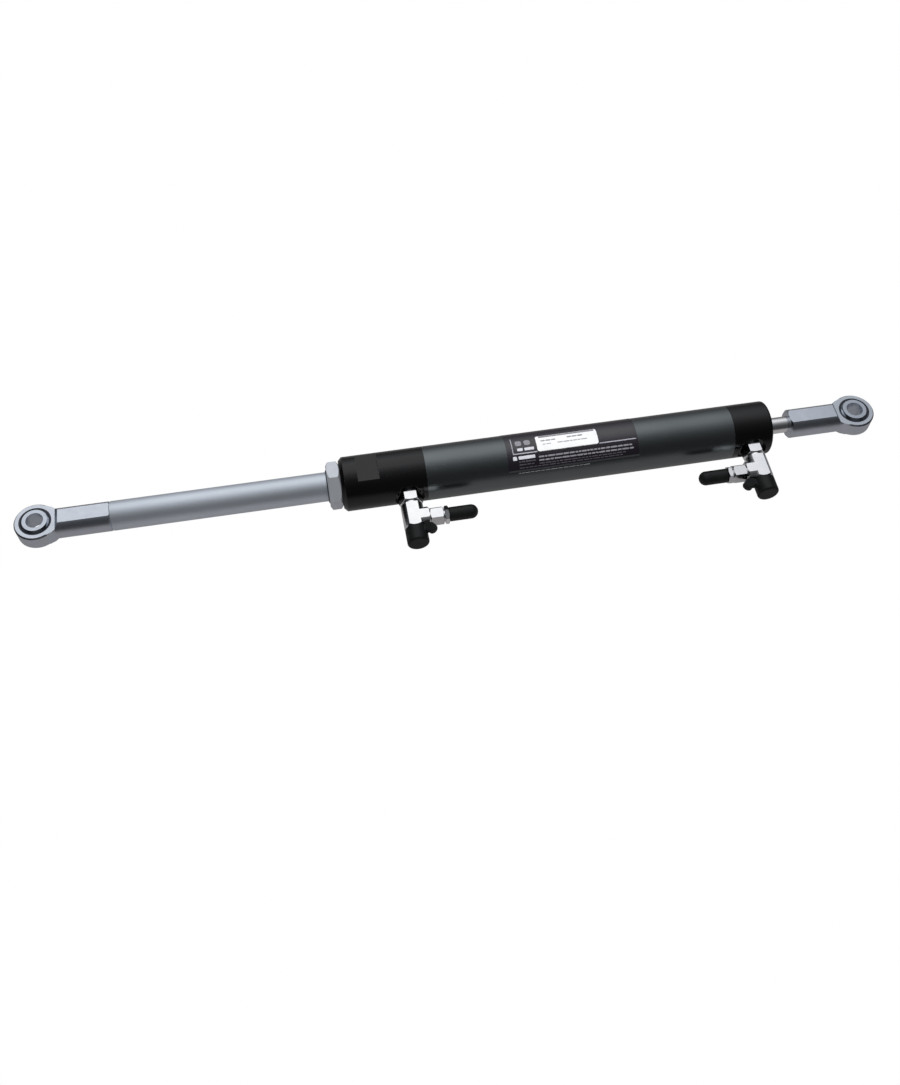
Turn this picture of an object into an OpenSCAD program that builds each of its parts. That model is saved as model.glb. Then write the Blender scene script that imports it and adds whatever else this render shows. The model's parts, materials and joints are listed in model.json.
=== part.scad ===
// Double-acting tie-in cylinder: welded-look barrel, ball-jointed eyes at both ends,
// two swivel tees with bleed screws and rubber caps.
// Origin: centre of the rear eye. The rod leaves towards -X, the ports point to -Y,
// and the eye bores run along Z. The model is drawn with the rod fully extended.

/* [Cylinder] */
// Travel of the rod
stroke = 152; // [100:1:200]
// Outside diameter of the tube and both heads
tube_od = 41.4; // [41:0.1:44]
// Inside diameter of the tube
bore_d = 34; // [33.5:0.1:35]
// Rod diameter
rod_d = 22.2; // [21:0.1:22.4]
// Length of the tube that shows, beyond the stroke
tube_extra = 86.9; // [84:0.1:95]
// Rod that stays out when the cylinder is closed
rod_clearance = 9; // [4:0.5:20]

/* [Heads] */
// Length of the front head that shows
front_head_len = 63.8; // [60:0.1:75]
// Length of the rear head that shows
rear_head_len = 31.1; // [30:0.1:40]
// Length of each head's spigot inside the tube
spigot_len = 20; // [18:1:20]
// Chamfer on the front head's outer end
front_chamfer = 2.6; // [1:0.1:4]
// Fillet on the rear head's outer end
rear_fillet = 2; // [0.5:0.1:3]
// Width across the wrench flats on the front head
head_flats_af = 34.7; // [33.5:0.1:36]
// Length of the wrench flats
head_flats_len = 15.9; // [8:0.1:18]
// Distance of the wrench flats from the front head's outer end
head_flats_inset = 12.7; // [10:0.1:15]
// Gland nut width across flats
gland_af = 32; // [31:0.5:36]
// Gland nut thickness
gland_nut_len = 9.9; // [8:0.1:14]
// Angle of a gland nut corner, from -Y towards +Z
gland_corner_angle = 14.6; // [0:0.1:60]

/* [Rod ends] */
// Pin bore of the ball
eye_bore_d = 12.7; // [10:0.1:13]
// Width of the ball
ball_width = 15.875; // [14:0.005:17]
// Diameter of the ball's spherical surface
ball_d = 24.2; // [23.8:0.1:24.8]
// Outside diameter of the liner's spherical surface
liner_d = 26.8; // [26:0.1:27]
// Depth of the liner's edges below the eye's faces
liner_recess = 0.6; // [0:0.1:1.5]
// Thickness of the eye
eye_width = 12.7; // [12:0.1:13]
// Outside diameter of the eye
eye_od = 31.2; // [30.8:0.1:34]
// Eye centre to the end of the shank
eye_to_shank_end = 54; // [48:0.5:60]
// Shank diameter
shank_d = 22.2; // [21:0.1:24]
// Width across the flats of the shank
shank_af = 19.05; // [17:0.05:21]
// Eye centre to the end of the flats
shoulder_x = 16.8; // [15:0.1:18]
// Stud diameter
stud_d = 12.7; // [11:0.1:13]
// Stud that shows between the rear head and the rear rod end
rear_stud_gap = 18.9; // [5:0.1:30]

/* [Ports] */
// Front port, from the front end of the tube towards the rod
front_port_inset = 14.1; // [13:0.1:16]
// Rear port, from the rear end of the tube towards the rear eye
rear_port_inset = 15; // [13:0.1:16]
// Distance of the spot faces from the cylinder's axis
spot_face_r = 17.6; // [17.5:0.1:18.5]
// Spot face diameter
spot_face_d = 22.5; // [21:0.5:24]
// Port nut width across flats
port_nut_af = 15.9; // [15:0.1:18]
// Port nut thickness
port_nut_len = 8; // [7:0.1:8.2]
// Tee body diameter
tee_d = 16.8; // [15.5:0.1:18]
// Thickness of the tee across its flats
tee_thick = 14.3; // [14.3:0.1:15]
// Distance of the tee body's outer end from the cylinder's axis
tee_end_r = 48.8; // [48.7:0.1:52]
// Distance of the branch's axis from the cylinder's axis
branch_r = 39.9; // [39:0.1:40.4]
// Branch diameter
branch_d = 16.2; // [15:0.1:16.2]
// Tee axis to the end of the branch
branch_len = 11.5; // [10:0.1:13]
// Diameter of the hose thread under the port cap
hose_thread_d = 14.2; // [13:0.1:14.2]
// Length of the hose thread
hose_thread_len = 10.2; // [8:0.1:12]

/* [Bleeders] */
// Bleed adapter width across flats
adapter_af = 12.7; // [11:0.1:14]
// Length of the bleed adapter's hexagon
adapter_len = 10; // [8:0.1:12]
// Turn of the adapters' hexagons towards the ports' open side
adapter_turn = 8; // [0:1:30]
// Bleed screw width across flats
bleed_hex_af = 12; // [10:0.1:12.7]
// Thickness of the bleed screw's hexagon
bleed_hex_len = 3.4; // [2:0.1:5]
// Turn of the front bleed screw's hexagon
front_screw_turn = 30; // [0:1:60]
// Turn of the rear bleed screw's hexagon
rear_screw_turn = 9; // [0:1:60]
// Bleed cap diameter
bleed_cap_d = 10.8; // [10:0.1:12]
// Bleed cap length
bleed_cap_len = 22; // [20:0.5:26]
// Port cap diameter
port_cap_d = 16.5; // [16.3:0.1:18]
// Thickness of the port cap's closed end
port_cap_end = 2.4; // [1:0.1:3]
// Angle of the front pull tab above the branch
front_tab_angle = 28; // [0:1:40]
// Angle of the rear pull tab above the branch
rear_tab_angle = 13; // [0:1:40]
// Centre of the front pull tab's lobe from the cap's axis
front_tab_reach = 12.4; // [12.2:0.1:16]
// Centre of the rear pull tab's lobe from the cap's axis
rear_tab_reach = 14.2; // [12.2:0.1:16]

/* [Label] */
// Length of the label
label_len = 101; // [60:1:110]
// Distance of the label from the rear end of the tube
label_inset = 76; // [40:1:76]
// Lower edge of the label, as an angle from -Y towards +Z
label_low = 20; // [10:1:40]
// Upper edge of the label, as an angle from -Y towards +Z
label_high = 150; // [100:1:160]

/* [Hidden] */
$fn = 96;

STEEL = [0.66, 0.67, 0.70];
CHROME = [0.60, 0.62, 0.66];
GREY_GREEN = [0.24, 0.27, 0.26];
BLACK = [0.04, 0.04, 0.045];
NICKEL = [0.82, 0.83, 0.86];
BRONZE = [0.72, 0.52, 0.26];
RUBBER = [0.05, 0.05, 0.05];
LINER = [0.09, 0.10, 0.12];

// Clearances
FIT = 0.05;          // running and screwed fits, on the radius
LOOSE = 0.1;         // rings in their grooves, on the radius
OVER = 1;            // overshoot of every cut
DRILL = 2.5;         // radius of the oil ways

// Stations along X, from the rear eye towards the front eye
x_rear_head = -(eye_to_shank_end + rear_stud_gap);
x_tube_rear = x_rear_head - rear_head_len;
x_tube_front = x_tube_rear - stroke - tube_extra;
x_gland = x_tube_front - front_head_len;
x_nut_face = x_gland - gland_nut_len;
x_rod_seam = x_nut_face - stroke - rod_clearance;
x_front_eye = x_rod_seam - eye_to_shank_end;
x_front_port = x_tube_front - front_port_inset;
x_rear_port = x_tube_rear + rear_port_inset;

// Heads
spigot_r = bore_d / 2 - FIT;
passage_r = rod_d / 2 + 1.9;                 // oil space around the rod
pocket_r = rod_d / 2 + 3.9;                  // gland pocket
pocket_len = 34;
o_ring_r = 1.2;                              // section radius of the head O-rings
o_ring_groove = 3.2;
port_hole_r = 5.6;
port_ring_pocket_r = 7.7;
port_ring_pocket_len = 2;
port_bottom_r = 12;                          // bottom of the port holes, from the cylinder's axis
port_washer_len = 1.1;
port_washer_r = port_nut_af / 2 - FIT;
port_nut_r = spot_face_r + port_washer_len;  // inner end of the port nuts
rear_way_y = -11.5;                          // oil way from the rear port to the bore
stud_in_head = 19.6;
stud_in_shank = 28;
stud_hole_extra = 1;

// Gland
gland_thread_len = 12;
wiper_pocket_r = 13.6;
wiper_pocket_len = 5.2;
wiper_lip = 0.7;
bushing_len = 14.8;
seal_len = 6.6;
gland_ring_r = 1;

// Neck of the rod ends: fillets that run a little into the shank and the eye
neck_fillet_r = 10;
neck_bite = 0.15;
neck_fillet_y = shank_d / 2 + neck_fillet_r - neck_bite;
neck_fillet_x = sqrt(pow(eye_od / 2 + neck_fillet_r - neck_bite, 2) - pow(neck_fillet_y, 2));

// Piston
piston_len = 28;
piston_gap = 1;                              // piston to the front spigot when fully extended
piston_r = bore_d / 2 - LOOSE;
piston_spigot_r = 7;
piston_nut_len = 10;
piston_nut_af = 19;
x_piston = x_tube_front + spigot_len + piston_gap;
seal_groove = [11.5, 5, 13.5];               // start, width and floor radius
wear_grooves = [[3, 4, 14.9], [21, 4, 14.9]];
piston_ring_r = 0.75;

// Tee
tee_shoulder_r = 28.3;                       // tee body's inner end, from the cylinder's axis
neck_r = 6.9;
tee_bore_r = 3.2;
branch_thread_r = 4.85;
branch_thread_len = 8;
adapter_start = branch_len + 0.5;
adapter_end = adapter_start + adapter_len;
screw_thread_r = 3;
screw_start = adapter_end + 0.8;
screw_end = screw_start + bleed_hex_len;
nipple_r = 3.2;
barb_r = 3.9;
tab_r = 3.8;                                 // pull tab: lobe radius and thickness
tab_thick = 5;
tab_offset = 4.2;                            // lobe's centre below the cap's open end
tab_root = 1.2;                              // how far the web runs into the cap's wall
tab_low = tab_offset + 1.4;                  // web's lower edge below the cap's open end
tab_top = branch_r + branch_d / 2 + 0.2 - tee_end_r - LOOSE;  // web's upper edge, just clear of the branch
tab_step = tee_d / 2 + 0.4;                  // where the web rises past the cap's open end
thread_pitch = 1.41;                         // hose thread, cut as rings
thread_depth = 0.75;
thread_start = 0.9;
nose_len = 2.2;                              // flare nose of the hose thread
nose_r = [6.1, 4.6];

// Draws its children along +X, starting at x
module along_x(x) { translate([x, 0, 0]) rotate([0, 90, 0]) children(); }

// Draws its children away from the cylinder along -Y, starting at radius r over station x
module outward(x, r) { translate([x, -r, 0]) rotate([90, 0, 0]) children(); }

// Draws its children along the tee's branch; dir is 1 towards +X and -1 towards -X
module along_branch(x, dir, start) {
    translate([x + dir * start, -branch_r, 0]) rotate([0, dir * 90, 0]) rotate([0, 0, 30]) children();
}

// Round ring or sleeve along +Z
module sleeve(r_out, r_in, len) {
    difference() {
        cylinder(r = r_out, h = len);
        translate([0, 0, -OVER]) cylinder(r = r_in, h = len + 2 * OVER);
    }
}

// Cylinder along +Z with a cone chamfer at either end
module chamfered_rod(r, len, c0, c1) {
    rotate_extrude() polygon([[0, 0], [r - c0, 0], [r, c0], [r, len - c1], [r - c1, len], [0, len]]);
}

// Hexagon along +Z with a 30 degree chamfer at both ends, down to a circle of face times its flats
module hex_blank(af, len, face = 0.96) {
    corner = af / cos(30) / 2;
    end_r = af / 2 * face;
    rise = (corner - end_r) * tan(30);
    intersection() {
        cylinder(r = corner, h = len, $fn = 6);
        rotate_extrude() polygon([
            [0, 0], [end_r, 0], [corner, rise], [corner, len - rise], [end_r, len], [0, len]
        ]);
    }
}

// O-ring around +Z
module o_ring(ring_r, section_r) {
    rotate_extrude() translate([ring_r, 0]) circle(r = section_r, $fn = 32);
}

// Groove cut into the outside of a round part
module outer_groove(r_floor, r_out, len) { sleeve(r_out + OVER, r_floor, len); }

// ---- Barrel ----

module tube() {
    color(GREY_GREEN) along_x(x_tube_front) sleeve(tube_od / 2, bore_d / 2, x_tube_rear - x_tube_front);
}

// Spot face, thread hole and O-ring pocket of a port, as a cut
module port_cut(x) {
    outward(x, spot_face_r) cylinder(d = spot_face_d, h = tube_od);
    outward(x, spot_face_r - port_ring_pocket_len) cylinder(r = port_ring_pocket_r, h = port_ring_pocket_len + OVER);
    outward(x, port_bottom_r) cylinder(r = port_hole_r, h = spot_face_r - port_bottom_r + OVER);
}

module front_head() {
    len = front_head_len + spigot_len;
    color(BLACK) difference() {
        union() {
            along_x(x_gland) chamfered_rod(tube_od / 2, front_head_len, front_chamfer, 0);
            along_x(x_tube_front - OVER) chamfered_rod(spigot_r, spigot_len + OVER, 0, 1);
        }
        along_x(x_gland - OVER) cylinder(r = pocket_r, h = pocket_len + OVER);
        along_x(x_gland - OVER) cylinder(r = passage_r, h = len + 2 * OVER);
        along_x(x_tube_front + spigot_len / 2 - o_ring_groove / 2)
            outer_groove(spigot_r - 2 * o_ring_r - FIT, spigot_r, o_ring_groove);
        for (side = [-1, 1])
            translate([x_gland + head_flats_inset, -tube_od / 2, side > 0 ? head_flats_af / 2 : -tube_od])
                cube([head_flats_len, tube_od, tube_od - head_flats_af / 2]);
        port_cut(x_front_port);
    }
}

module rear_head() {
    color(BLACK) difference() {
        union() {
            along_x(x_tube_rear) rotate_extrude() union() {
                square([tube_od / 2 - rear_fillet, rear_head_len]);
                square([tube_od / 2, rear_head_len - rear_fillet]);
                translate([tube_od / 2 - rear_fillet, rear_head_len - rear_fillet]) circle(r = rear_fillet);
            }
            along_x(x_tube_rear - spigot_len)
                chamfered_rod(spigot_r, spigot_len + OVER, 1, 0);
        }
        along_x(x_tube_rear - spigot_len / 2 - o_ring_groove / 2)
            outer_groove(spigot_r - 2 * o_ring_r - FIT, spigot_r, o_ring_groove);
        along_x(x_rear_head - stud_in_head - stud_hole_extra)
            cylinder(r = stud_d / 2 + FIT, h = stud_in_head + stud_hole_extra + OVER);
        port_cut(x_rear_port);
        outward(x_rear_port, -rear_way_y - DRILL) cylinder(r = DRILL, h = spot_face_r);
        translate([x_tube_rear - spigot_len - OVER, rear_way_y, 0]) rotate([0, 90, 0])
            cylinder(r = DRILL, h = spigot_len + rear_port_inset + OVER);
    }
}

module gland_nut() {
    thread_r = pocket_r - FIT;
    color(STEEL) difference() {
        union() {
            along_x(x_nut_face) rotate([0, 0, -(90 + gland_corner_angle)]) hex_blank(gland_af, gland_nut_len);
            along_x(x_gland - OVER) chamfered_rod(thread_r, gland_thread_len + OVER, 0, 1);
        }
        along_x(x_nut_face - OVER) cylinder(r = rod_d / 2 + 0.4, h = gland_nut_len + gland_thread_len + 2 * OVER);
        along_x(x_nut_face - OVER) cylinder(r = wiper_pocket_r, h = wiper_pocket_len + OVER);
        along_x(x_gland + gland_thread_len / 2 - gland_ring_r)
            outer_groove(thread_r - 2 * gland_ring_r, thread_r, 2 * gland_ring_r + 0.4);
    }
}

module gland_bushing() {
    color(BRONZE) along_x(x_gland + gland_thread_len + 0.2)
        sleeve(pocket_r - FIT, rod_d / 2 + FIT, bushing_len);
}

// U-cup: a ring with a V groove in the face towards the pressure
module rod_seal() {
    color(RUBBER) along_x(x_gland + pocket_len - seal_len - 0.2) rotate_extrude() difference() {
        translate([rod_d / 2 + FIT, 0]) square([pocket_r - rod_d / 2 - 2 * FIT, seal_len]);
        polygon([[rod_d / 2 + 1.1, seal_len + 0.1], [pocket_r - 1.1, seal_len + 0.1],
                 [(rod_d / 2 + pocket_r) / 2, seal_len - 3.4]]);
    }
}

module rod_wiper() {
    color(RUBBER) along_x(x_nut_face) rotate_extrude() polygon([
        [rod_d / 2 + FIT, -wiper_lip], [rod_d / 2 + 0.8, -wiper_lip], [wiper_pocket_r - 0.6, 0],
        [wiper_pocket_r - FIT, 0.6], [wiper_pocket_r - FIT, wiper_pocket_len - 0.1],
        [rod_d / 2 + FIT, wiper_pocket_len - 0.1]
    ]);
}

module gland_o_ring() {
    color(RUBBER) along_x(x_gland + gland_thread_len / 2 + 0.2)
        o_ring(pocket_r - gland_ring_r - FIT, gland_ring_r - FIT);
}

module head_o_ring(x) { color(RUBBER) along_x(x) o_ring(bore_d / 2 - o_ring_r - FIT, o_ring_r - FIT); }

module front_head_o_ring() { head_o_ring(x_tube_front + spigot_len / 2); }

module rear_head_o_ring() { head_o_ring(x_tube_rear - spigot_len / 2); }

module rear_stud() {
    color(CHROME) along_x(x_rear_head - stud_in_head)
        chamfered_rod(stud_d / 2, stud_in_head + rear_stud_gap + stud_in_shank, 1, 1);
}

module label() {
    color(BLACK) along_x(x_tube_rear - label_inset - label_len)
        rotate([0, 0, -(90 + label_high)]) rotate_extrude(angle = label_high - label_low)
            translate([tube_od / 2 + 0.01, 0]) square([0.14, label_len]);
}

// ---- Rod ends ----

// Side view of a rod end in X and Z: flats on the shank, sloping down to the thinner eye
module rod_end_side_profile() {
    slope = 2.6;
    half_eye = eye_width / 2;
    half_flat = shank_af / 2;
    polygon([
        [-eye_to_shank_end, -half_flat], [-shoulder_x, -half_flat], [-shoulder_x + slope, -half_eye],
        [0, -half_eye], [0, half_eye], [-shoulder_x + slope, half_eye], [-shoulder_x, half_flat],
        [-eye_to_shank_end, half_flat]
    ]);
}

// Neck in X and Y: as wide as the shank, blending into the eye with concave fillets
module neck_outline() {
    meet_y = neck_fillet_y * eye_od / (eye_od + 2 * neck_fillet_r);
    difference() {
        translate([-neck_fillet_x, -meet_y]) square([neck_fillet_x, 2 * meet_y]);
        for (side = [-1, 1]) translate([-neck_fillet_x, side * neck_fillet_y]) circle(r = neck_fillet_r);
    }
}

// Rod end with its eye at the origin and its shank towards -X
module rod_end(end_chamfer) {
    edge = 1;
    race_r = liner_d / 2 + FIT;
    difference() {
        union() {
            translate([0, 0, -eye_width / 2]) chamfered_rod(eye_od / 2, eye_width, edge, edge);
            intersection() {
                rotate([90, 0, 0]) translate([0, 0, -eye_od / 2])
                    linear_extrude(eye_od) rod_end_side_profile();
                union() {
                    along_x(-eye_to_shank_end)
                        chamfered_rod(shank_d / 2, eye_to_shank_end, end_chamfer, 0);
                    intersection() {
                        linear_extrude(eye_width + 2 * OVER, center = true) neck_outline();
                        along_x(-neck_fillet_x)
                            cylinder(r1 = shank_d / 2 - neck_bite, r2 = shank_d, h = neck_fillet_x);
                    }
                }
            }
        }
        sphere(r = race_r);
        along_x(-eye_to_shank_end - OVER)
            cylinder(r = stud_d / 2 + FIT, h = stud_in_shank + stud_hole_extra + OVER);
    }
}

module liner() {
    color(LINER) intersection() {
        difference() {
            sphere(r = liner_d / 2);
            sphere(r = ball_d / 2 + FIT);
        }
        translate([0, 0, liner_recess - eye_width / 2])
            cylinder(r = liner_d, h = eye_width - 2 * liner_recess);
    }
}

module ball() {
    color(CHROME) difference() {
        intersection() {
            sphere(r = ball_d / 2);
            translate([0, 0, -ball_width / 2]) cylinder(r = ball_d, h = ball_width);
        }
        translate([0, 0, -ball_width]) cylinder(d = eye_bore_d, h = 2 * ball_width);
    }
}

module rear_rod_end() { color(STEEL) rod_end(1.2); }
module front_rod_end() { color(STEEL) translate([x_front_eye, 0, 0]) mirror([1, 0, 0]) rod_end(0.7); }
module rear_liner() { liner(); }
module front_liner() { translate([x_front_eye, 0, 0]) liner(); }
module rear_ball() { ball(); }
module front_ball() { translate([x_front_eye, 0, 0]) ball(); }

// ---- Rod and piston ----

module rod() {
    shoulder_len = x_piston - x_rod_seam;
    color(CHROME) union() {
        along_x(x_rod_seam - stud_in_shank) chamfered_rod(stud_d / 2, stud_in_shank + OVER, 1, 0);
        along_x(x_rod_seam) chamfered_rod(rod_d / 2, shoulder_len, 0.6, 0.5);
        along_x(x_piston - OVER)
            chamfered_rod(piston_spigot_r, OVER + piston_len + piston_nut_len + 2, 0, 1);
    }
}

module piston() {
    color(STEEL) difference() {
        along_x(x_piston) chamfered_rod(piston_r, piston_len, 0.8, 0.8);
        along_x(x_piston - OVER) cylinder(r = piston_spigot_r + FIT, h = piston_len + 2 * OVER);
        for (groove = concat([seal_groove], wear_grooves))
            along_x(x_piston + groove[0]) outer_groove(groove[2], piston_r, groove[1]);
        along_x(x_piston + piston_len / 2 - piston_ring_r - LOOSE)
            cylinder(r = piston_spigot_r + FIT + 2 * piston_ring_r, h = 2 * (piston_ring_r + LOOSE));
    }
}

module piston_nut() {
    color(STEEL) along_x(x_piston + piston_len) difference() {
        hex_blank(piston_nut_af, piston_nut_len);
        translate([0, 0, -OVER]) cylinder(r = piston_spigot_r + FIT, h = piston_nut_len + 2 * OVER);
    }
}

module piston_o_ring() {
    color(RUBBER) along_x(x_piston + piston_len / 2)
        o_ring(piston_spigot_r + FIT + piston_ring_r, piston_ring_r - 0.02);
}

// Ring filling a piston groove with a running clearance all round
module piston_ring(groove) {
    along_x(x_piston + groove[0] + LOOSE)
        sleeve(bore_d / 2 - FIT, groove[2] + LOOSE, groove[1] - 2 * LOOSE);
}

module piston_seal() { color(RUBBER) piston_ring(seal_groove); }
module piston_wear_rings() { color(BRONZE) for (groove = wear_grooves) piston_ring(groove); }

// ---- Ports and bleeders ----

module port_nut(x) {
    color(NICKEL) outward(x, port_nut_r) difference() {
        hex_blank(port_nut_af, port_nut_len, 0.95);
        translate([0, 0, -OVER]) cylinder(r = port_hole_r, h = port_nut_len + 2 * OVER);
    }
}

// Backup washer between the port nut and the O-ring
module port_washer(x) {
    color(NICKEL) outward(x, spot_face_r) sleeve(port_washer_r, port_hole_r, port_washer_len);
}

module port_o_ring(x) {
    section_r = (port_ring_pocket_r - port_hole_r) / 2 - FIT;
    color(RUBBER) outward(x, spot_face_r - port_ring_pocket_len / 2)
        o_ring((port_ring_pocket_r + port_hole_r) / 2, section_r - 0.01);
}

// Outside thread with a flare nose, along +Z
module hose_thread() {
    r = hose_thread_d / 2;
    root = r - thread_depth;
    len = OVER + hose_thread_len;
    start = OVER + thread_start;
    turns = floor((hose_thread_len - thread_start - nose_len) / thread_pitch);
    rings = [for (i = [0 : turns - 1]) each [
        [r, start + i * thread_pitch], [r, start + i * thread_pitch + 0.3],
        [root, start + i * thread_pitch + 0.75], [root, start + i * thread_pitch + 0.95]
    ]];
    rotate_extrude() polygon(concat(
        [[0, 0], [r, 0]], rings,
        [[nose_r[0], start + turns * thread_pitch - 0.3], [nose_r[0], len - nose_len],
         [nose_r[1], len], [0, len]]
    ));
}

// Tee: stem through the port nut, flat-sided body, branch for the bleeder, hose thread outside
module tee(x, dir) {
    stem_r = port_hole_r - LOOSE;
    stem_start = port_bottom_r + 1.6;
    neck_start = port_nut_r + port_nut_len + FIT;
    body_len = tee_end_r - tee_shoulder_r;
    thread_end = tee_end_r + hose_thread_len;
    color(NICKEL) difference() {
        union() {
            outward(x, stem_start) chamfered_rod(stem_r, tee_shoulder_r - stem_start + OVER, 0.5, 0);
            outward(x, neck_start) cylinder(r = neck_r, h = tee_shoulder_r - neck_start + OVER);
            intersection() {
                union() {
                    outward(x, tee_shoulder_r) chamfered_rod(tee_d / 2, body_len, 0.3, 1.5);
                    along_branch(x, dir, 0) chamfered_rod(branch_d / 2, branch_len, 0, 0.6);
                }
                translate([x - branch_len - OVER, -tee_end_r - OVER, -tee_thick / 2])
                    cube([2 * (branch_len + OVER), tee_end_r, tee_thick]);
            }
            outward(x, tee_end_r - OVER) hose_thread();
        }
        outward(x, stem_start - OVER) cylinder(r = tee_bore_r, h = thread_end - stem_start + 2 * OVER);
        along_branch(x, dir, branch_len - branch_thread_len)
            cylinder(r = branch_thread_r, h = branch_thread_len + OVER);
    }
}

module bleed_adapter(x, dir) {
    seat_depth = 9;
    color(NICKEL) difference() {
        union() {
            along_branch(x, dir, branch_len - branch_thread_len + 0.5)
                cylinder(r = branch_thread_r - FIT, h = branch_thread_len + OVER);
            along_branch(x, dir, adapter_start)
                rotate([0, 0, dir * adapter_turn]) hex_blank(adapter_af, adapter_len);
        }
        along_branch(x, dir, 0) cylinder(r = 1.5, h = adapter_end + OVER);
        along_branch(x, dir, adapter_end - seat_depth)
            cylinder(r = screw_thread_r + FIT, h = seat_depth + OVER);
    }
}

module bleed_screw(x, dir, turn) {
    tip = 8.6;
    nipple_len = 11;
    color(NICKEL) difference() {
        union() {
            along_branch(x, dir, adapter_end - tip) chamfered_rod(screw_thread_r, tip + OVER, 1, 0);
            along_branch(x, dir, adapter_end + FIT) cylinder(r = 4.2, h = screw_start - adapter_end);
            along_branch(x, dir, screw_start)
                rotate([0, 0, dir * turn]) hex_blank(bleed_hex_af, bleed_hex_len);
            along_branch(x, dir, screw_end - OVER)
                chamfered_rod(nipple_r, nipple_len + OVER, 0, 0.8);
            along_branch(x, dir, screw_end + nipple_len - 4)
                cylinder(r1 = barb_r, r2 = nipple_r - 0.4, h = 3);
        }
        along_branch(x, dir, adapter_end) cylinder(r = 1, h = nipple_len + 3 * OVER + screw_end - adapter_end);
    }
}

module bleed_cap(x, dir) {
    cap_r = bleed_cap_d / 2;
    wall_len = bleed_cap_len - cap_r;
    bore_len = wall_len - 2;
    color(RUBBER) along_branch(x, dir, screw_end + LOOSE) difference() {
        union() {
            chamfered_rod(cap_r, wall_len, 0.4, 0);
            translate([0, 0, wall_len]) sphere(r = cap_r);
        }
        translate([0, 0, -OVER]) cylinder(r = barb_r + LOOSE, h = bore_len + OVER);
    }
}

// Pull tab of the port cap: a round lobe on a web, X from the cap's axis and Y from its open end
module pull_tab(reach) {
    root = port_cap_d / 2 - tab_root;
    linear_extrude(tab_thick, center = true) {
        translate([reach, tab_offset]) circle(r = tab_r);
        polygon([
            [root, 0.01], [tab_step, 0.01], [tab_step, tab_top], [reach, tab_top],
            [reach, tab_low], [root, tab_low]
        ]);
    }
}

module port_cap(x, dir, reach, angle) {
    cap_len = hose_thread_len + port_cap_end + 0.3;
    cap_r = port_cap_d / 2;
    round_r = 1.6;
    color(RUBBER) outward(x, tee_end_r + LOOSE) difference() {
        union() {
            rotate_extrude() union() {
                square([cap_r - round_r, cap_len]);
                square([cap_r, cap_len - round_r]);
                translate([cap_r - round_r, cap_len - round_r]) circle(r = round_r, $fn = 32);
            }
            rotate([0, 0, dir > 0 ? angle : 180 - angle])
                rotate([90, 0, 0]) pull_tab(reach);
        }
        translate([0, 0, -OVER]) cylinder(r = hose_thread_d / 2 + LOOSE, h = hose_thread_len + 0.2 + OVER);
    }
}

module front_port_nut() { port_nut(x_front_port); }
module rear_port_nut() { port_nut(x_rear_port); }
module front_port_washer() { port_washer(x_front_port); }
module rear_port_washer() { port_washer(x_rear_port); }
module front_port_o_ring() { port_o_ring(x_front_port); }
module rear_port_o_ring() { port_o_ring(x_rear_port); }
module front_tee() { tee(x_front_port, 1); }
module rear_tee() { tee(x_rear_port, -1); }
module front_bleed_adapter() { bleed_adapter(x_front_port, 1); }
module rear_bleed_adapter() { bleed_adapter(x_rear_port, -1); }
module front_bleed_screw() { bleed_screw(x_front_port, 1, front_screw_turn); }
module rear_bleed_screw() { bleed_screw(x_rear_port, -1, rear_screw_turn); }
module front_bleed_cap() { bleed_cap(x_front_port, 1); }
module rear_bleed_cap() { bleed_cap(x_rear_port, -1); }
module front_port_cap() { port_cap(x_front_port, 1, front_tab_reach, front_tab_angle); }
module rear_port_cap() { port_cap(x_rear_port, -1, rear_tab_reach, rear_tab_angle); }

tube();
front_head();
rear_head();
gland_nut();
gland_bushing();
rod_seal();
rod_wiper();
gland_o_ring();
front_head_o_ring();
rear_head_o_ring();
rear_stud();
rear_rod_end();
label();
front_port_nut();
rear_port_nut();
front_port_washer();
rear_port_washer();
front_port_o_ring();
rear_port_o_ring();
piston_seal();
piston_wear_rings();
rod();
piston();
piston_nut();
piston_o_ring();
front_rod_end();
front_liner();
rear_liner();
front_ball();
rear_ball();
front_tee();
front_bleed_adapter();
rear_tee();
rear_bleed_adapter();
front_bleed_screw();
rear_bleed_screw();
front_bleed_cap();
rear_bleed_cap();
front_port_cap();
rear_port_cap();
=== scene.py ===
import json
import math
import random

import bmesh
import bpy
from mathutils import Matrix, Vector


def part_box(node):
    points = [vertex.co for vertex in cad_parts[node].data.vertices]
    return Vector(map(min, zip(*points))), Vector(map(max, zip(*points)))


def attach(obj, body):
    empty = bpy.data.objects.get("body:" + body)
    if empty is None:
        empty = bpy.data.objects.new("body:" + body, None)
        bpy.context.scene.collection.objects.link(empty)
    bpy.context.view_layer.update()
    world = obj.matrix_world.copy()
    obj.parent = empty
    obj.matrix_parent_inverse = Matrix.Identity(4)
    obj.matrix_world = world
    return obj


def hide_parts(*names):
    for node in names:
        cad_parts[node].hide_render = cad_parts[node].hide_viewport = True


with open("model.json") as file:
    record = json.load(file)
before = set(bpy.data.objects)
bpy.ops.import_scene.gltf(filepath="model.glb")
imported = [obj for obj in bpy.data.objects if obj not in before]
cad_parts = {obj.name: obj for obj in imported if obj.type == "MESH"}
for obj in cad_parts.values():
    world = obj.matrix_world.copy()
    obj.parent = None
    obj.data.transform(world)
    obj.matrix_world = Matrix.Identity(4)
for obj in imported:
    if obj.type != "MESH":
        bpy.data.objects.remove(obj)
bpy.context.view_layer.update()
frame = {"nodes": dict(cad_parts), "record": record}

MM = 0.001
MICRON = 0.000001
NODES = frame["nodes"]

# ---------------------------------------------------------------- places


def low(node):
    return Vector(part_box(node)[0])


def high(node):
    return Vector(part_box(node)[1])


TUBE_R = high("tube").z


# ---------------------------------------------------------------- camera

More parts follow.
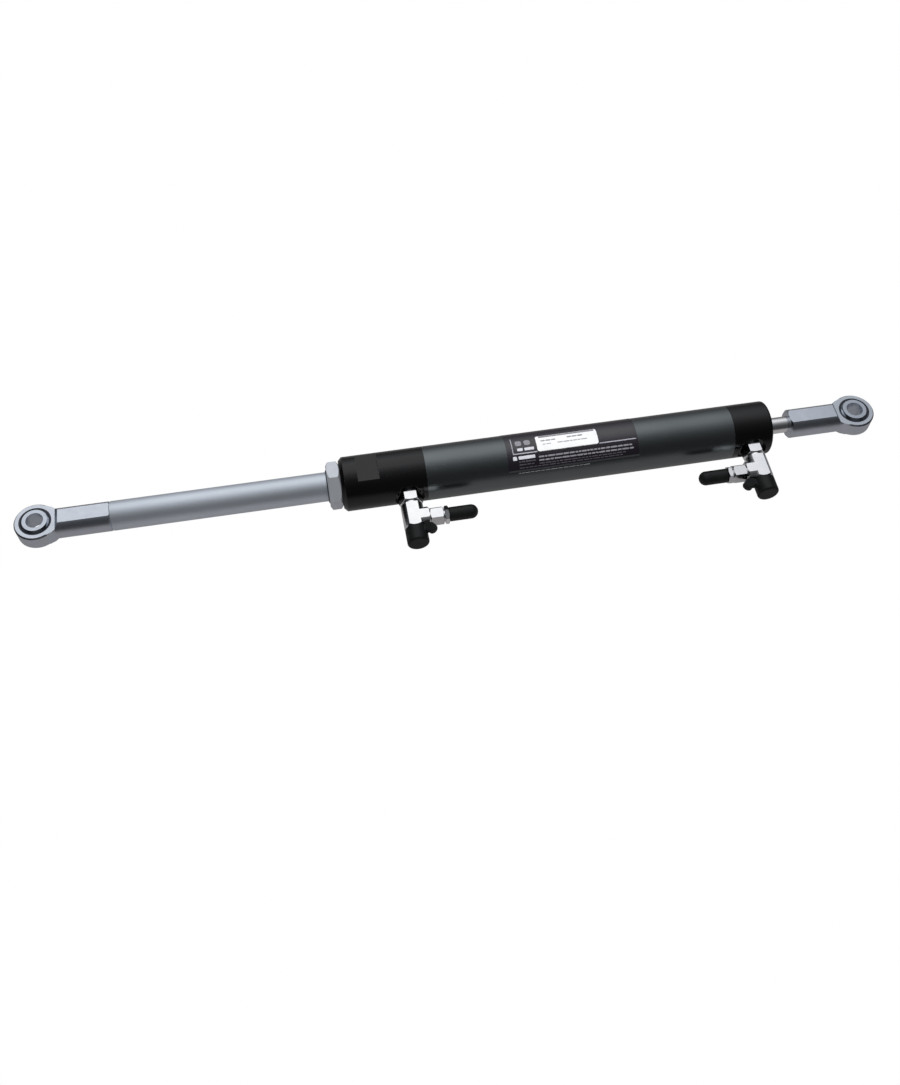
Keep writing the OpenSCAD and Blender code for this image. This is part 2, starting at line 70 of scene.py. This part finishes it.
CAMERA_AT = Vector((-0.4217, -0.5077, 0.7240))
HEADING = 11.152                             # degrees from +Y towards +X
ELEVATION = 58.027                           # degrees above the horizon
ROLL = 1.372                                 # degrees
FOCAL_LENGTH = 38.586                        # mm
SENSOR_WIDTH = 36                            # mm
CLIP_START = 0.01


def make_camera():
    heading, elevation = math.radians(HEADING), math.radians(ELEVATION)
    ahead = Vector((
        math.sin(heading) * math.cos(elevation),
        math.cos(heading) * math.cos(elevation),
        -math.sin(elevation),
    ))
    level = Vector((math.cos(heading), -math.sin(heading), 0))
    upright = level.cross(ahead)
    roll = math.radians(ROLL)
    right = level * math.cos(roll) + upright * math.sin(roll)
    up = right.cross(ahead)
    data = bpy.data.cameras.new("camera")
    data.lens = FOCAL_LENGTH
    data.sensor_width = SENSOR_WIDTH
    data.clip_start = CLIP_START
    camera = bpy.data.objects.new("camera", data)
    turn = Matrix((right, up, -ahead)).transposed().to_4x4()
    camera.matrix_world = Matrix.Translation(CAMERA_AT) @ turn
    bpy.context.scene.collection.objects.link(camera)
    bpy.context.scene.camera = camera


# ---------------------------------------------------------------- light and floor

FLOOR_DROP = 0.30                            # floor below the cylinder's axis, in metres
FLOOR_SIZE = 30.0
FLOOR_GREY = 0.36                            # how much light the floor gives back to the part
FLOOR_SHADES = ((1.00, 0.96, 0.96), (1.03, 0.99, 0.99))
FLOOR_GRAIN = 40                             # cells a metre
DOME_TILT = 35                               # brightest part of the dome, degrees behind the zenith
DOME_COLOR = (0.97, 0.99, 1.03)
DOME_STOPS = (                               # cosine from the brightest part, brightness
    (0.00, 0.05), (0.25, 0.08), (0.50, 0.15), (0.65, 0.24), (0.78, 0.42), (0.88, 0.70),
    (0.95, 1.00), (1.00, 1.18),
)
DOME_SIDES = ((0.22, 1.0), (0.75, 0.25))     # sideways part of the direction, brightness there
BACKDROP = (1.0, 1.0, 1.0)
KEY_AT = (-0.3, -0.35, 1.8)
KEY_SIZE = 1.2
KEY_POWER = 29
MIX_A, MIX_B, MIX_RESULT = 6, 7, 2           # the colour sockets of a Mix node


def make_world():
    """A softbox-like dome for the light and the reflections, and plain white to the camera."""
    world = bpy.data.worlds.new("studio")
    world.use_nodes = True
    tree = world.node_tree
    tree.nodes.clear()
    place = tree.nodes.new("ShaderNodeTexCoord")
    dot = tree.nodes.new("ShaderNodeVectorMath")
    dot.operation = "DOT_PRODUCT"
    tilt = math.radians(DOME_TILT)
    dot.inputs[1].default_value = (0, math.sin(tilt), math.cos(tilt))
    ramp = tree.nodes.new("ShaderNodeValToRGB")
    ramp.color_ramp.interpolation = "B_SPLINE"
    stops = ramp.color_ramp.elements
    while len(stops) < len(DOME_STOPS):
        stops.new(0.5)                       # any place will do, as the next loop sets it
    for stop, (position, level) in zip(stops, DOME_STOPS):
        stop.position = position
        stop.color = (*(level * c for c in DOME_COLOR), 1)
    parts = tree.nodes.new("ShaderNodeSeparateXYZ")
    sideways = tree.nodes.new("ShaderNodeMath")
    sideways.operation = "ABSOLUTE"
    sides = tree.nodes.new("ShaderNodeMapRange")
    sides.interpolation_type = "SMOOTHSTEP"
    (inner, full), (outer, least) = DOME_SIDES
    sides.inputs["From Min"].default_value = inner
    sides.inputs["From Max"].default_value = outer
    sides.inputs["To Min"].default_value = full
    sides.inputs["To Max"].default_value = least
    dome = tree.nodes.new("ShaderNodeBackground")
    backdrop = tree.nodes.new("ShaderNodeBackground")
    backdrop.inputs["Color"].default_value = (*BACKDROP, 1)
    path = tree.nodes.new("ShaderNodeLightPath")
    mix = tree.nodes.new("ShaderNodeMixShader")
    out = tree.nodes.new("ShaderNodeOutputWorld")
    link = tree.links.new
    link(place.outputs["Generated"], dot.inputs[0])
    link(place.outputs["Generated"], parts.inputs[0])
    link(parts.outputs["X"], sideways.inputs[0])
    link(sideways.outputs[0], sides.inputs["Value"])
    link(dot.outputs["Value"], ramp.inputs["Fac"])
    link(ramp.outputs["Color"], dome.inputs["Color"])
    link(sides.outputs["Result"], dome.inputs["Strength"])
    link(path.outputs["Is Camera Ray"], mix.inputs["Fac"])
    link(dome.outputs[0], mix.inputs[1])
    link(backdrop.outputs[0], mix.inputs[2])
    link(mix.outputs[0], out.inputs["Surface"])
    bpy.context.scene.world = world


def make_floor():
    """White to the camera, and a softer grey to the light and the reflections."""
    half = FLOOR_SIZE / 2
    corners = ((-half, -half), (half, -half), (half, half), (-half, half))
    mesh = bpy.data.meshes.new("floor")
    mesh.from_pydata([(x, y, -FLOOR_DROP) for x, y in corners], [], [(0, 1, 2, 3)])
    floor = bpy.data.objects.new("floor", mesh)
    bpy.context.scene.collection.objects.link(floor)
    material = bpy.data.materials.new("floor")
    material.use_nodes = True
    tree = material.node_tree
    tree.nodes.clear()
    path = tree.nodes.new("ShaderNodeLightPath")
    grain = tree.nodes.new("ShaderNodeTexNoise")
    grain.inputs["Scale"].default_value = FLOOR_GRAIN
    shade = tree.nodes.new("ShaderNodeMix")
    shade.data_type = "RGBA"
    for socket, tint in zip((MIX_A, MIX_B), FLOOR_SHADES):
        shade.inputs[socket].default_value = (*(FLOOR_GREY * c for c in tint), 1)
    table = tree.nodes.new("ShaderNodeBsdfDiffuse")
    white = tree.nodes.new("ShaderNodeEmission")
    white.inputs["Color"].default_value = (*BACKDROP, 1)
    white.inputs["Strength"].default_value = 1.0
    mix = tree.nodes.new("ShaderNodeMixShader")
    out = tree.nodes.new("ShaderNodeOutputMaterial")
    link = tree.links.new
    link(grain.outputs["Fac"], shade.inputs["Factor"])
    link(shade.outputs[MIX_RESULT], table.inputs["Color"])
    link(path.outputs["Is Camera Ray"], mix.inputs["Fac"])
    link(table.outputs[0], mix.inputs[1])
    link(white.outputs[0], mix.inputs[2])
    link(mix.outputs[0], out.inputs["Surface"])
    mesh.materials.append(material)


def make_key_light():
    """A large soft lamp above the near side. Reflections come from the dome alone."""
    data = bpy.data.lights.new("key", "AREA")
    data.shape = "DISK"
    data.size = KEY_SIZE
    data.energy = KEY_POWER
    lamp = bpy.data.objects.new("key", data)
    aim = Vector((low("tube").x / 2, 0, 0))
    lamp.location = KEY_AT
    lamp.rotation_euler = (aim - Vector(KEY_AT)).to_track_quat("-Z", "Y").to_euler()
    lamp.visible_glossy = False
    lamp.visible_camera = False
    bpy.context.scene.collection.objects.link(lamp)


# ---------------------------------------------------------------- materials

NOISE_SPREAD = (0.3, 0.7)                    # where most of a noise's values lie
EDGE_COSINES = (0.99, 0.88)                  # between the true and the rounded normal: none, full
EDGE_SAMPLES = 4
RINGS = (60, 1, 1)                           # stretch for turning marks round the X axis
LENGTHWISE = (1, 60, 60)                     # stretch for drawing marks along the X axis
SCRATCHES = (1, 90, 90)                      # stretch for finer scratches along the X axis
ROUND_THE_BORE = (1, 1, 40)                  # stretch for turning marks round the Z axis


class Look:
    """A material on a Principled shader, with short ways to add and join nodes."""

    def __init__(self, name, color, metallic, roughness):
        self.material = bpy.data.materials.new(name)
        self.material.use_nodes = True
        self.tree = self.material.node_tree
        self.shader = self.tree.nodes["Principled BSDF"]
        self.set("Base Color", (*color, 1))
        self.set("Metallic", metallic)
        self.set("Roughness", roughness)
        self.place = self.add("ShaderNodeTexCoord").outputs["Object"]
        self.color = color
        self.bump_out = None

    def set(self, socket, value):
        self.shader.inputs[socket].default_value = value

    def add(self, kind, **settings):
        node = self.tree.nodes.new(kind)
        for key, value in settings.items():
            setattr(node, key, value)
        return node

    def join(self, source, target):
        self.tree.links.new(source, target)

    def stretched(self, scale):
        """Object coordinates, stretched so that a noise runs long where scale is small."""
        mapping = self.add("ShaderNodeMapping")
        mapping.inputs["Scale"].default_value = scale
        self.join(self.place, mapping.inputs["Vector"])
        return mapping.outputs["Vector"]

    def noise(self, cells, detail=3.0, roughness=0.55, stretch=(1, 1, 1)):
        """Noise of that many cells a metre, from 0 to 1."""
        texture = self.add("ShaderNodeTexNoise")
        texture.inputs["Scale"].default_value = cells
        texture.inputs["Detail"].default_value = detail
        texture.inputs["Roughness"].default_value = roughness
        self.join(self.stretched(stretch), texture.inputs["Vector"])
        return texture.outputs["Fac"]

    def ramp(self, value, low_in, high_in, low_out, high_out):
        node = self.add("ShaderNodeMapRange")
        node.inputs["From Min"].default_value = low_in
        node.inputs["From Max"].default_value = high_in
        node.inputs["To Min"].default_value = low_out
        node.inputs["To Max"].default_value = high_out
        self.join(value, node.inputs["Value"])
        return node.outputs["Result"]

    def mix(self, factor, a, b):
        """Colour a where factor is 0 and b where it is 1; either may be a socket."""
        node = self.add("ShaderNodeMix", data_type="RGBA")
        self.join(factor, node.inputs["Factor"])
        for socket, value in ((node.inputs[MIX_A], a), (node.inputs[MIX_B], b)):
            if isinstance(value, tuple):
                socket.default_value = (*value, 1)
            else:
                self.join(value, socket)
        return node.outputs[MIX_RESULT]

    def product(self, a, b):
        node = self.add("ShaderNodeMath", operation="MULTIPLY")
        self.join(a, node.inputs[0])
        self.join(b, node.inputs[1])
        return node.outputs[0]

    def tint(self, value, darker, lighter):
        """Base colour that varies with value between two shades of the look's own colour."""
        a = tuple(c * darker for c in self.color)
        b = tuple(min(1.0, c * lighter) for c in self.color)
        color = self.mix(self.ramp(value, *NOISE_SPREAD, 0, 1), a, b)
        self.join(color, self.shader.inputs["Base Color"])
        return color

    def roughen(self, value, smooth, rough):
        self.join(self.ramp(value, *NOISE_SPREAD, smooth, rough), self.shader.inputs["Roughness"])

    def bump(self, value, height):
        """Adds a relief of that height, in metres, over any relief added before."""
        node = self.add("ShaderNodeBump")
        node.inputs["Strength"].default_value = 1.0
        node.inputs["Distance"].default_value = height
        self.join(value, node.inputs["Height"])
        if self.bump_out is not None:
            self.join(self.bump_out, node.inputs["Normal"])
        self.bump_out = node.outputs["Normal"]
        self.join(self.bump_out, self.shader.inputs["Normal"])

    def edges(self, radius):
        """1 along convex and concave edges, 0 on open surface."""
        rounded = self.add("ShaderNodeBevel", samples=EDGE_SAMPLES)
        rounded.inputs["Radius"].default_value = radius
        flat = self.add("ShaderNodeNewGeometry")
        dot = self.add("ShaderNodeVectorMath", operation="DOT_PRODUCT")
        self.join(rounded.outputs["Normal"], dot.inputs[0])
        self.join(flat.outputs["Normal"], dot.inputs[1])
        return self.ramp(dot.outputs["Value"], *EDGE_COSINES, 0, 1)


TUBE_COLOR = (0.164, 0.181, 0.186)
TUBE_METALLIC = 0.97
HEAD_COLOR = (0.0015, 0.0015, 0.0018)
HEAD_WEAR_COLOR = (0.07, 0.07, 0.075)
HEAD_WEAR_WIDTH = 0.4 * MM
ROD_COLOR = (0.81, 0.87, 0.95)
STUD_COLOR = (0.98, 0.985, 0.99)
BALL_COLOR = (0.56, 0.61, 0.69)
NICKEL_COLOR = (0.96, 0.97, 1.0)
BRONZE_COLOR = (0.56, 0.36, 0.15)
LINER_COLOR = (0.022, 0.024, 0.032)
LINER_THREADS = 900                          # scale of the weave
FILM_COLOR = (0.009, 0.006, 0.011)
CLEAR_STRIP = (0.0105, 0.0120)               # height where the film turns from clear to dark, in metres


def look_tube():
    look = Look("tube_anodised", TUBE_COLOR, TUBE_METALLIC, roughness=0.30)
    drawn = look.noise(60, detail=4, roughness=0.6, stretch=LENGTHWISE)
    look.tint(look.noise(22), darker=0.94, lighter=1.06)
    look.roughen(drawn, smooth=0.27, rough=0.34)
    look.bump(drawn, height=4 * MICRON)
    look.bump(look.noise(2600, detail=2), height=1.5 * MICRON)
    return look.material


def look_head():
    """Gloss black, rubbed a little lighter in spots along the edges."""
    look = Look("head_black", HEAD_COLOR, metallic=0.0, roughness=0.17)
    look.set("Specular IOR Level", 0.48)
    turned = look.noise(40, roughness=0.6, stretch=RINGS)
    spots = look.ramp(look.noise(900), 0.45, 0.62, 0, 1)
    wear = look.product(look.edges(HEAD_WEAR_WIDTH), spots)
    color = look.mix(wear, look.tint(look.noise(35), darker=0.8, lighter=1.2), HEAD_WEAR_COLOR)
    look.join(color, look.shader.inputs["Base Color"])
    look.roughen(turned, smooth=0.15, rough=0.21)
    look.bump(turned, height=2 * MICRON)
    return look.material


def look_plated(name, color, metallic, smooth, rough):
    look = Look(name, color, metallic, smooth)
    look.tint(look.noise(60, detail=4, roughness=0.6), darker=0.95, lighter=1.04)
    look.roughen(look.noise(220), smooth, rough)
    look.bump(look.noise(900, roughness=0.6), height=2.5 * MICRON)
    return look.material


def look_rod():
    look = Look("rod_chrome", ROD_COLOR, metallic=0.88, roughness=0.50)
    ground = look.noise(55, detail=4, roughness=0.65, stretch=RINGS)
    look.tint(look.noise(18, detail=2), darker=0.97, lighter=1.03)
    look.roughen(ground, smooth=0.46, rough=0.54)
    look.bump(ground, height=2 * MICRON)
    long_noise = look.noise(30, detail=2, roughness=0.5, stretch=SCRATCHES)
    look.bump(look.ramp(long_noise, 0.66, 0.72, 0, 1), height=2 * MICRON)
    return look.material


def look_stud():
    look = Look("stud_polished", STUD_COLOR, metallic=1.0, roughness=0.10)
    turned = look.noise(70, roughness=0.6, stretch=RINGS)
    look.tint(turned, darker=0.95, lighter=1.03)
    look.roughen(turned, smooth=0.07, rough=0.12)
    look.bump(turned, height=2 * MICRON)
    return look.material


def look_ball():
    look = Look("ball_polished", BALL_COLOR, metallic=1.0, roughness=0.2)
    turned = look.noise(90, roughness=0.6, stretch=ROUND_THE_BORE)
    look.tint(look.noise(260), darker=0.93, lighter=1.04)
    look.roughen(turned, smooth=0.17, rough=0.26)
    look.bump(turned, height=2 * MICRON)
    return look.material


def look_nickel():
    look = Look("nickel_plated", NICKEL_COLOR, metallic=1.0, roughness=0.16)
    look.tint(look.noise(160), darker=0.95, lighter=1.04)
    look.roughen(look.noise(400), smooth=0.13, rough=0.21)
    look.bump(look.noise(700, roughness=0.6), height=3 * MICRON)
    return look.material


def look_bronze():
    look = Look("bronze_turned", BRONZE_COLOR, metallic=1.0, roughness=0.3)
    turned = look.noise(80, roughness=0.6, stretch=RINGS)
    look.tint(turned, darker=0.85, lighter=1.1)
    look.roughen(turned, smooth=0.25, rough=0.4)
    look.bump(turned, height=6 * MICRON)
    return look.material


def look_rubber(name, color, smooth, rough):
    look = Look(name, color, metallic=0.0, roughness=rough)
    look.set("Specular IOR Level", 0.25)
    look.tint(look.noise(180, detail=4), darker=0.8, lighter=1.25)
    look.roughen(look.noise(700), smooth, rough)
    look.bump(look.noise(2400, detail=4, roughness=0.65), height=20 * MICRON)
    return look.material


def look_liner():
    look = Look("liner_weave", LINER_COLOR, metallic=0.0, roughness=0.45)
    weave = look.add("ShaderNodeTexWave", wave_type="BANDS", bands_direction="DIAGONAL")
    weave.inputs["Scale"].default_value = LINER_THREADS
    look.join(look.place, weave.inputs["Vector"])
    look.tint(weave.outputs["Fac"], darker=0.7, lighter=1.5)
    look.roughen(look.noise(800), smooth=0.38, rough=0.55)
    look.bump(weave.outputs["Fac"], height=20 * MICRON)
    return look.material


def look_print(name, color):
    look = Look(name, color, metallic=0.0, roughness=0.22)
    look.tint(look.noise(120, detail=4), darker=0.93, lighter=1.06)
    look.roughen(look.noise(300), smooth=0.22, rough=0.32)
    look.bump(look.noise(150, detail=2), height=10 * MICRON)
    return look.material


def look_label_film():
    """Dark glossy film, clear along its lower edge so that the tube shows through there."""
    look = Look("label_film", FILM_COLOR, metallic=0.0, roughness=0.22)
    look.set("Specular IOR Level", 1.0)
    parts = look.add("ShaderNodeSeparateXYZ")
    look.join(look.place, parts.inputs[0])
    dark = look.ramp(parts.outputs["Z"], *CLEAR_STRIP, 0, 1)
    film = look.tint(look.noise(120, detail=4), darker=0.93, lighter=1.06)
    look.join(look.mix(dark, TUBE_COLOR, film), look.shader.inputs["Base Color"])
    look.join(look.ramp(dark, 0, 1, TUBE_METALLIC, 0), look.shader.inputs["Metallic"])
    look.roughen(look.noise(300), smooth=0.20, rough=0.26)
    look.bump(look.noise(150, detail=2), height=10 * MICRON)
    return look.material


def make_looks():
    """One look for each material slot of the record."""
    return {
        "tube": look_tube(),
        "head": look_head(),
        "plated_steel": look_plated("plated_steel", (0.655, 0.70, 0.775), 1.0, 0.27, 0.35),
        "rod_chrome": look_rod(),
        "ball": look_ball(),
        "nickel": look_nickel(),
        "bronze": look_bronze(),
        "seal": look_rubber("seal_nitrile", (0.02, 0.02, 0.02), 0.4, 0.55),
        "cap_rubber": look_rubber("cap_rubber", (0.008, 0.0085, 0.0088), 0.34, 0.46),
        "liner": look_liner(),
        "label": look_label_film(),
    }


def dress_nodes(looks):
    """Every CAD node takes the look of its slot in the record, or a finish of its own."""
    slots = {part["node"]: part["material_slot"] for part in frame["record"]["subparts"]}
    finishes = {
        "rear_stud": look_stud(),
        "gland_nut": look_plated("plated_nut", (0.80, 0.84, 0.90), 0.72, 0.42, 0.52),
    }
    for name, node in NODES.items():
        look = finishes.get(name, looks[slots[name]])
        for index in range(len(node.material_slots)):
            node.material_slots[index].material = look


# ---------------------------------------------------------------- pieces

def piece(name, mesh, look, body):
    mesh.shade_smooth()
    mesh.materials.clear()
    mesh.materials.append(look)
    thing = bpy.data.objects.new(name, mesh)
    bpy.context.scene.collection.objects.link(thing)
    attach(thing, body)
    return thing


def mesh_from(name, build):
    """A mesh made by build(bm)."""
    bm = bmesh.new()
    build(bm)
    bmesh.ops.recalc_face_normals(bm, faces=bm.faces)
    mesh = bpy.data.meshes.new(name)
    bm.to_mesh(mesh)
    bm.free()
    return mesh


# ---------------------------------------------------------------- label print

FILM_THICK = 0.15 * MM
FILM_R = TUBE_R + FILM_THICK
PRINT_GAP = 0.02 * MM                        # print's underside above the film
PRINT_THICK = 0.03 * MM
PRINT_STEP = 0.35 * MM                       # longest facet round the tube
LAYER = 0.03 * MM                            # one print over another
CORNER = 0.3 * MM
CORNER_LIMIT = 0.98                          # largest corner, as a part of half the patch
CORNER_STEP = 15                             # degrees
DASH_SHORT, DASH_LONG = 1.6 * MM, 5.5 * MM
DASH_GAP = 0.55 * MM
DASH_SEED = 11

PRINT_COLORS = {
    "white": (0.97, 0.98, 0.99),
    "bright": (0.70, 0.70, 0.76),
    "pale": (0.44, 0.43, 0.49),
    "grey": (0.27, 0.265, 0.295),
    "dim": (0.085, 0.08, 0.095),
}
# Patches and lines: start and end in mm along X, then low and high angle in degrees.
PANEL = (23.6, 70.8, 68, 105.5)
PANEL_LINES = (                              # from the panel's front edge
    (3.5, 15, 90, 93), (24, 38, 91.5, 95), (4.5, 13, 82, 83.6), (16, 39, 82, 84),
)
BLOCKS = ((7.4, 12.2, 86, 99), (14.2, 19.0, 86, 99))
BARS = (
    (8.2, 12.4, 74.2, 80.6), (13.8, 21.2, 74.2, 80.6), (8.3, 21.0, 56.2, 63.2),
    (4.0, 7.0, 55.2, 63.4),
)
FRAME_AT = 4.4                               # mm, the frame's upright line
ROWS = (
    (23.6, 96, 55.2, 58.6, "grey"),
    (23.6, 97, 48.2, 51.4, "grey"),
    (8.2, 21, 50.0, 52.6, "dim"),
    (8.2, 21, 44.2, 46.2, "dim"),
    (23.6, 92, 42.2, 44.4, "dim"),
    (8.2, 88, 37.4, 39.2, "dim"),
    (7.4, 64, 26.6, 28.2, "grey"),
)


def print_patch(bm, x_low, x_high, angle_low, angle_high, corner, lift):
    """Adds a thin rounded rectangle wrapped on the label; angles go from -Y to +Z, in degrees."""
    inner = FILM_R + PRINT_GAP + lift
    outer = inner + PRINT_THICK
    middle_x = (x_low + x_high) / 2
    half_x = (x_high - x_low) / 2
    middle_a = math.radians((angle_low + angle_high) / 2)
    half_s = math.radians(angle_high - angle_low) / 2 * inner
    corner = min(corner, half_x * CORNER_LIMIT, half_s * CORNER_LIMIT)
    arc = [corner * (1 - math.cos(math.radians(a))) for a in range(0, 90 + 1, CORNER_STEP)]
    columns = [-half_x + d for d in arc] + [half_x - d for d in reversed(arc)]
    rows = max(2, math.ceil(2 * half_s / PRINT_STEP))

    def sheet(radius):
        grid = []
        for x in columns:
            inset = max(0.0, abs(x) - (half_x - corner))
            reach = half_s - corner + math.sqrt(max(0.0, corner ** 2 - inset ** 2))
            line = []
            for row in range(rows + 1):
                angle = middle_a + reach * (2 * row / rows - 1) / inner
                point = (middle_x + x, -radius * math.cos(angle), radius * math.sin(angle))
                line.append(bm.verts.new(point))
            grid.append(line)
        return grid

    top, bottom = sheet(outer), sheet(inner)
    last = len(columns) - 1
    for i in range(last):
        for j in range(rows):
            for grid in (top, bottom):
                bm.faces.new((grid[i][j], grid[i + 1][j], grid[i + 1][j + 1], grid[i][j + 1]))
        for j in (0, rows):
            bm.faces.new((top[i][j], top[i + 1][j], bottom[i + 1][j], bottom[i][j]))
    for i in (0, last):
        for j in range(rows):
            bm.faces.new((top[i][j], top[i][j + 1], bottom[i][j + 1], bottom[i][j]))


def print_on_label(name, patches, look, corner=CORNER, lift=0.0):
    """One piece of print; each patch is its two ends along X and its two angles."""
    def build(bm):
        for patch in patches:
            print_patch(bm, *patch, corner, lift)

    piece(name, mesh_from(name, build), look, "barrel")


def dashes(x_low, x_high, angle_low, angle_high, shuffle):
    """A row of plain dashes of uneven length, where a line of print was."""
    row = []
    x = x_low
    while x < x_high - DASH_SHORT:
        end = min(x_high, x + shuffle.uniform(DASH_SHORT, DASH_LONG))
        row.append((x, end, angle_low, angle_high))
        x = end + DASH_GAP
    return row


def along(start, patch):
    """A patch in mm from start as one in metres along X."""
    a, b, low_a, high_a = patch
    return start + a * MM, start + b * MM, low_a, high_a


def make_label_print():
    """A white data panel, a frame line, plain blocks and rows of dashes. No lettering."""
    ink = {name: look_print(f"print_{name}", color) for name, color in PRINT_COLORS.items()}
    x0, x1 = low("label").x, high("label").x
    panel = along(x0, PANEL)
    panel_low, panel_high = panel[:2]
    frame_x = x0 + FRAME_AT * MM
    shuffle = random.Random(DASH_SEED)
    print_on_label("label_panel", [panel], ink["white"], corner=1.6 * MM)
    header = (panel_low + 2.6 * MM, panel_high - 1.6 * MM, 100.0, 104.6)
    print_on_label("label_panel_header", [header], ink["grey"], lift=LAYER)
    lines = [dash for line in PANEL_LINES for dash in dashes(*along(panel_low, line), shuffle)]
    print_on_label("label_panel_print", lines, ink["grey"], lift=LAYER)
    print_on_label("label_frame", [
        (frame_x, frame_x + 0.6 * MM, 69.9, 108),
        (frame_x, panel_low - 0.4 * MM, 67.4, 69.8),
        (panel_high + 0.4 * MM, x1 - 1.2 * MM, 67.2, 69.4),
    ], ink["pale"], corner=0.2 * MM)
    blocks = [along(x0, patch) for patch in BLOCKS]
    print_on_label("label_blocks", blocks, ink["grey"], corner=1.6 * MM)
    bars = [along(x0, patch) for patch in BARS]
    print_on_label("label_bars", bars, ink["bright"], corner=0.5 * MM)
    for number, (*row, color) in enumerate(ROWS, start=1):
        print_on_label(f"label_row_{number}", dashes(*along(x0, row), shuffle), ink[color])


# ---------------------------------------------------------------- rubber caps

CAP_VOXEL = 0.25 * MM
SOFTEN_FACTOR = 0.5
DUST_CAP_ROUNDS = 6                          # rounds of softening
BLEEDER_CAP_ROUNDS = 4


def moulded(name, node, look, body, rounds):
    """Replaces a CAD node by a copy with its edges melted round, as rubber from a mould has."""
    mesh = NODES[node].data.copy()
    mesh.name = name
    thing = piece(name, mesh, look, body)
    attributes = thing.data.attributes
    if "custom_normal" in attributes.keys():
        attributes.remove(attributes["custom_normal"])
    remesh = thing.modifiers.new("remesh", "REMESH")
    remesh.mode = "VOXEL"
    remesh.voxel_size = CAP_VOXEL
    remesh.use_smooth_shade = True
    soften = thing.modifiers.new("soften", "SMOOTH")
    soften.factor = SOFTEN_FACTOR
    soften.iterations = rounds
    depsgraph = bpy.context.evaluated_depsgraph_get()
    result = bpy.data.meshes.new_from_object(thing.evaluated_get(depsgraph))
    thing.modifiers.clear()
    thing.data = result
    result.materials.clear()
    result.materials.append(look)
    result.shade_smooth()
    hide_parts(node)


def make_caps(look):
    for end in ("front", "rear"):
        port, bleed = f"{end}_port_cap", f"{end}_bleed_cap"
        moulded(f"{end}_dust_cap", port, look, port, DUST_CAP_ROUNDS)
        moulded(f"{end}_bleeder_cap", bleed, look, bleed, BLEEDER_CAP_ROUNDS)


# ---------------------------------------------------------------- build

bpy.context.scene.view_settings.view_transform = "Standard"
make_camera()
make_world()
make_floor()
make_key_light()
LOOKS = make_looks()
dress_nodes(LOOKS)
make_label_print()
make_caps(LOOKS["cap_rubber"])
